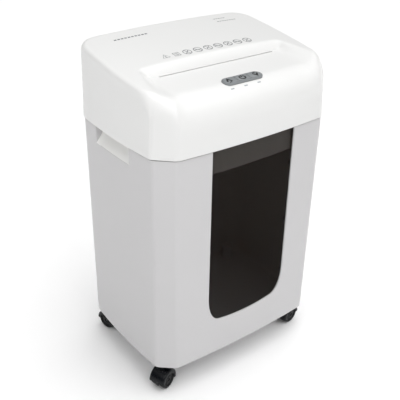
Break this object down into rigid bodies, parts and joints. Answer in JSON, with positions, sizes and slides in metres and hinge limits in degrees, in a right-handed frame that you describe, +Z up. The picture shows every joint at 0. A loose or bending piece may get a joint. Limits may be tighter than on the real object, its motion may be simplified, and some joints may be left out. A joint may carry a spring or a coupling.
{
  "type": "paper shredder",
  "caption": "Free-standing paper shredder: sloped lift-off cutting head with a feed slot and keys, on a tall bin with a smoked window and swivel castors.",
  "frame": {"origin": "on the floor, under the middle of the machine", "axes": "+X to the right of a person facing the machine, +Y from the front to the back, +Z up"},
  "size_m": [0.3616, 0.2636, 0.5805],
  "materials": {
    "white_abs": "satin white ABS",
    "smoked_pane": "smoked clear polystyrene",
    "grey_abs": "dark grey ABS",
    "zinc_steel": "zinc-plated steel",
    "cutter_steel": "hardened oiled steel",
    "bearing_bronze": "sintered bronze",
    "nylon_gear": "natural nylon",
    "panel_grey": "satin grey ABS",
    "light_bar": "frosted light pipe",
    "circuit_board": "green solder mask",
    "black_plastic": "black moulding",
    "castor_black": "black nylon"
  },
  "bodies": {
    "cabinet": {"cabinet_shell": "white_abs", "window_panel": "smoked_pane", "window_clips": "zinc_steel", "castor_sockets": "black_plastic"},
    "head": {"top_cover": "white_abs", "lower_housing": "grey_abs", "cover_screws": "zinc_steel", "throat_front": "grey_abs", "throat_rear": "grey_abs", "side_plate_left": "zinc_steel", "side_plate_right": "zinc_steel", "gearbox_plate": "zinc_steel", "tie_rods": "zinc_steel", "cutter_bushes": "bearing_bronze", "stripper_comb_front": "grey_abs", "stripper_comb_rear": "grey_abs", "motor_can": "zinc_steel", "motor_screws": "zinc_steel", "panel_bezel": "panel_grey", "status_leds": "light_bar", "key_board": "circuit_board", "key_switches": "black_plastic", "sensor_board": "circuit_board", "control_board": "circuit_board", "board_parts": "black_plastic", "interlock_switch": "black_plastic", "cord_gland": "black_plastic"},
    "cutter_front": {"cutter_shaft_front": "cutter_steel", "cutter_discs_front": "cutter_steel", "cutter_spacers_front": "cutter_steel", "sync_gear_front": "cutter_steel"},
    "cutter_rear": {"cutter_shaft_rear": "cutter_steel", "cutter_discs_rear": "cutter_steel", "cutter_spacers_rear": "cutter_steel", "sync_gear_rear": "cutter_steel", "final_gear": "cutter_steel"},
    "idler": {"idler_shaft": "cutter_steel", "idler_gear": "nylon_gear"},
    "motor_rotor": {"motor_shaft": "cutter_steel", "motor_pinion": "bearing_bronze"},
    "reverse_key": {"key_reverse": "panel_grey"},
    "power_key": {"key_power": "panel_grey"},
    "forward_key": {"key_forward": "panel_grey"},
    "paper_flag": {"sensor_lever": "black_plastic"},
    "interlock_pin": {"interlock_plunger": "black_plastic"},
    "swivel_fl": {"castor_fl_hood": "castor_black"},
    "wheels_fl": {"castor_fl_wheels": "castor_black", "castor_fl_axle": "cutter_steel"},
    "swivel_fr": {"castor_fr_hood": "castor_black"},
    "wheels_fr": {"castor_fr_wheels": "castor_black", "castor_fr_axle": "cutter_steel"},
    "swivel_bl": {"castor_bl_hood": "castor_black"},
    "wheels_bl": {"castor_bl_wheels": "castor_black", "castor_bl_axle": "cutter_steel"},
    "swivel_br": {"castor_br_hood": "castor_black"},
    "wheels_br": {"castor_br_wheels": "castor_black", "castor_br_axle": "cutter_steel"}
  },
  "joints": [
    {"name": "head_lift", "type": "slide", "parent": "cabinet", "child": "head", "axis": [0, 0, 1], "range_m": [0, 0.12]},
    {"name": "rear_cutter_spin", "type": "hinge", "parent": "head", "child": "cutter_rear", "pos_m": [0, -0.008, 0.475], "axis": [1, 0, 0], "continuous": true},
    {"name": "front_cutter_spin", "type": "hinge", "parent": "head", "child": "cutter_front", "pos_m": [0, -0.046, 0.475], "axis": [1, 0, 0], "continuous": true},
    {"name": "idler_spin", "type": "hinge", "parent": "head", "child": "idler", "pos_m": [0.145, 0.028, 0.502], "axis": [1, 0, 0], "continuous": true},
    {"name": "motor_spin", "type": "hinge", "parent": "head", "child": "motor_rotor", "pos_m": [0.13, 0.056, 0.481], "axis": [1, 0, 0], "continuous": true},
    {"name": "reverse_key_press", "type": "slide", "parent": "head", "child": "reverse_key", "axis": [0, 0.1478, -0.989], "range_m": [0, 0.0008], "stiffness_N_per_m": 1500},
    {"name": "power_key_press", "type": "slide", "parent": "head", "child": "power_key", "axis": [0, 0.1478, -0.989], "range_m": [0, 0.0008], "stiffness_N_per_m": 1500},
    {"name": "forward_key_press", "type": "slide", "parent": "head", "child": "forward_key", "axis": [0, 0.1478, -0.989], "range_m": [0, 0.0008], "stiffness_N_per_m": 1500},
    {"name": "paper_flag_tilt", "type": "hinge", "parent": "head", "child": "paper_flag", "pos_m": [0, -0.0185, 0.507], "axis": [1, 0, 0], "range_deg": [0, 35], "stiffness_Nm_per_rad": 0.002},
    {"name": "interlock_press", "type": "slide", "parent": "head", "child": "interlock_pin", "axis": [0, 0, 1], "range_m": [0, 0.002], "stiffness_N_per_m": 600},
    {"name": "castor_fl_swivel", "type": "hinge", "parent": "cabinet", "child": "swivel_fl", "pos_m": [-0.14, -0.081, 0.035], "axis": [0, 0, 1], "continuous": true},
    {"name": "castor_fl_roll", "type": "hinge", "parent": "swivel_fl", "child": "wheels_fl", "pos_m": [-0.15222, -0.08545, 0.017], "axis": [0.342, -0.9397, 0], "continuous": true},
    {"name": "castor_fr_swivel", "type": "hinge", "parent": "cabinet", "child": "swivel_fr", "pos_m": [0.14, -0.081, 0.035], "axis": [0, 0, 1], "continuous": true},
    {"name": "castor_fr_roll", "type": "hinge", "parent": "swivel_fr", "child": "wheels_fr", "pos_m": [0.15287, -0.07919, 0.017], "axis": [-0.1392, 0.9903, 0], "continuous": true},
    {"name": "castor_bl_swivel", "type": "hinge", "parent": "cabinet", "child": "swivel_bl", "pos_m": [-0.14, 0.1, 0.035], "axis": [0, 0, 1], "continuous": true},
    {"name": "castor_bl_roll", "type": "hinge", "parent": "swivel_bl", "child": "wheels_bl", "pos_m": [-0.14336, 0.11256, 0.017], "axis": [-0.9659, -0.2588, 0], "continuous": true},
    {"name": "castor_br_swivel", "type": "hinge", "parent": "cabinet", "child": "swivel_br", "pos_m": [0.14, 0.1, 0.035], "axis": [0, 0, 1], "continuous": true},
    {"name": "castor_br_roll", "type": "hinge", "parent": "swivel_br", "child": "wheels_br", "pos_m": [0.1465, 0.11126, 0.017], "axis": [-0.866, 0.5, 0], "continuous": true}
  ],
  "couplings": [
    {"joint": "front_cutter_spin", "follows": "rear_cutter_spin", "ratio": -1},
    {"joint": "idler_spin", "follows": "rear_cutter_spin", "ratio": -3.2857},
    {"joint": "motor_spin", "follows": "rear_cutter_spin", "ratio": 13.143}
  ]
}
